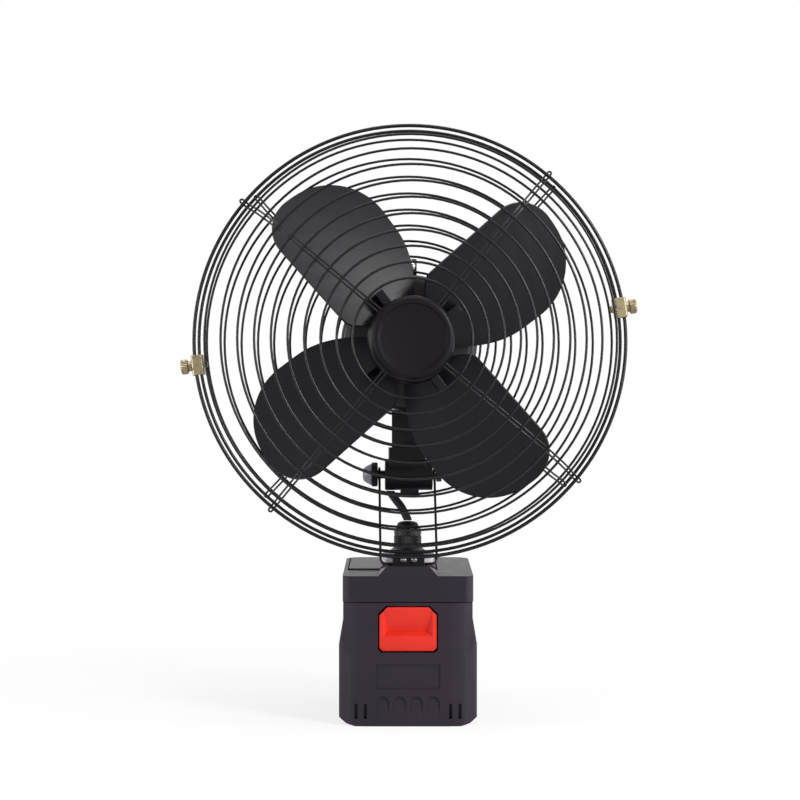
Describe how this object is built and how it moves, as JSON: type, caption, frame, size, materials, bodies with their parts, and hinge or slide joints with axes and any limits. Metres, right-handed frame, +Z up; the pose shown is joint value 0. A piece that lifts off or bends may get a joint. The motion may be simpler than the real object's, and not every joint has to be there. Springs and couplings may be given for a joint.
{
  "type": "cordless fan",
  "caption": "Wire-cage fan on a slide-on tool battery: swivelling neck, bent-wire tilting yoke, moulded rotor in a guard cage, red release latch.",
  "frame": {"origin": "middle of the battery's underside, on the ground", "axes": "+Z up, the fan blows towards -Y, +X to the right of somebody who faces the fan"},
  "size_m": [0.2652, 0.1446, 0.3472],
  "materials": {
    "case_plastic": "fine-textured black moulding",
    "adapter_plastic": "fine-textured dark grey moulding",
    "cell_wrap": "smooth shrink wrap",
    "board": "circuit board",
    "latch_red": "satin red moulding",
    "nylon": "smooth white nylon",
    "black_paint": "black powder coat",
    "wire": "dark coated wire",
    "steel": "bright zinc",
    "brass": "dull plated brass",
    "winding": "enamelled copper on laminations",
    "ferrite": "sintered magnet",
    "blade": "smooth black moulding",
    "lead": "matt sleeve"
  },
  "bodies": {
    "battery": {"battery_lower_case": "case_plastic", "battery_upper_case": "case_plastic", "battery_cell_1": "cell_wrap", "battery_cell_2": "cell_wrap", "battery_cell_3": "cell_wrap", "battery_cell_4": "cell_wrap", "battery_cell_5": "cell_wrap", "battery_cell_6": "cell_wrap", "battery_cell_7": "cell_wrap", "battery_cell_8": "cell_wrap", "battery_cell_9": "cell_wrap", "battery_cell_10": "cell_wrap", "cell_holder": "adapter_plastic", "battery_board": "board", "battery_terminals": "adapter_plastic", "latch_spring": "steel"},
    "latch": {"release_latch": "latch_red"},
    "adapter": {"adapter_housing": "adapter_plastic", "adapter_top_cover": "adapter_plastic", "adapter_contacts": "brass", "control_board": "board", "swivel_post": "steel", "post_nut": "steel", "speed_switch": "case_plastic"},
    "rocker": {"switch_rocker": "case_plastic"},
    "yoke": {"nylon_block": "nylon", "swivel_neck": "black_paint", "neck_cap": "case_plastic", "yoke_wire": "wire", "wire_saddle": "black_paint", "saddle_screw_left": "steel", "saddle_screw_right": "steel", "motor_lead": "lead", "tilt_bolt": "wire"},
    "tilt_knob": {"tilt_knob": "case_plastic"},
    "head": {"tilt_block": "case_plastic", "tilt_bracket": "black_paint", "bracket_screw_1": "steel", "bracket_screw_2": "steel", "motor_housing": "black_paint", "motor_rear_cover": "black_paint", "motor_magnet": "ferrite", "front_bearing": "steel", "rear_bearing": "steel", "front_guard": "wire", "rear_guard": "wire", "guard_cap": "case_plastic", "guard_screw_1": "steel", "guard_screw_2": "steel", "guard_screw_3": "steel", "guard_clip_left": "brass", "guard_clip_right": "brass", "clip_screw_left": "brass", "clip_screw_right": "brass", "clip_nut_left": "brass", "clip_nut_right": "brass"},
    "rotor": {"fan_shaft": "steel", "armature": "winding", "fan_rotor": "blade", "hub_nut": "steel"}
  },
  "joints": [
    {"name": "latch_push", "type": "slide", "parent": "battery", "child": "latch", "axis": [0, 1, 0], "range_m": [0, 0.003], "stiffness_N_per_m": 2500, "springref_m": -0.002},
    {"name": "adapter_slide", "type": "slide", "parent": "battery", "child": "adapter", "axis": [0, 1, 0], "range_m": [0, 0.075]},
    {"name": "rocker_tip", "type": "hinge", "parent": "adapter", "child": "rocker", "pos_m": [0, 0.047, 0.0787], "axis": [1, 0, 0], "range_deg": [-10, 10]},
    {"name": "neck_swivel", "type": "hinge", "parent": "adapter", "child": "yoke", "pos_m": [0, 0, 0.0902], "axis": [0, 0, 1], "continuous": true},
    {"name": "knob_turn", "type": "hinge", "parent": "yoke", "child": "tilt_knob", "pos_m": [-0.00038, 0.01199, 0.1415], "axis": [0.9995, 0.0314, 0], "continuous": true},
    {"name": "head_tilt", "type": "hinge", "parent": "yoke", "child": "head", "pos_m": [-0.00038, 0.01199, 0.1415], "axis": [-0.9995, -0.0314, 0], "range_deg": [-2.5, 55]},
    {"name": "rotor_spin", "type": "hinge", "parent": "head", "child": "rotor", "pos_m": [0.00151, -0.04794, 0.22166], "axis": [-0.0314, 0.9988, -0.0384], "continuous": true}
  ]
}
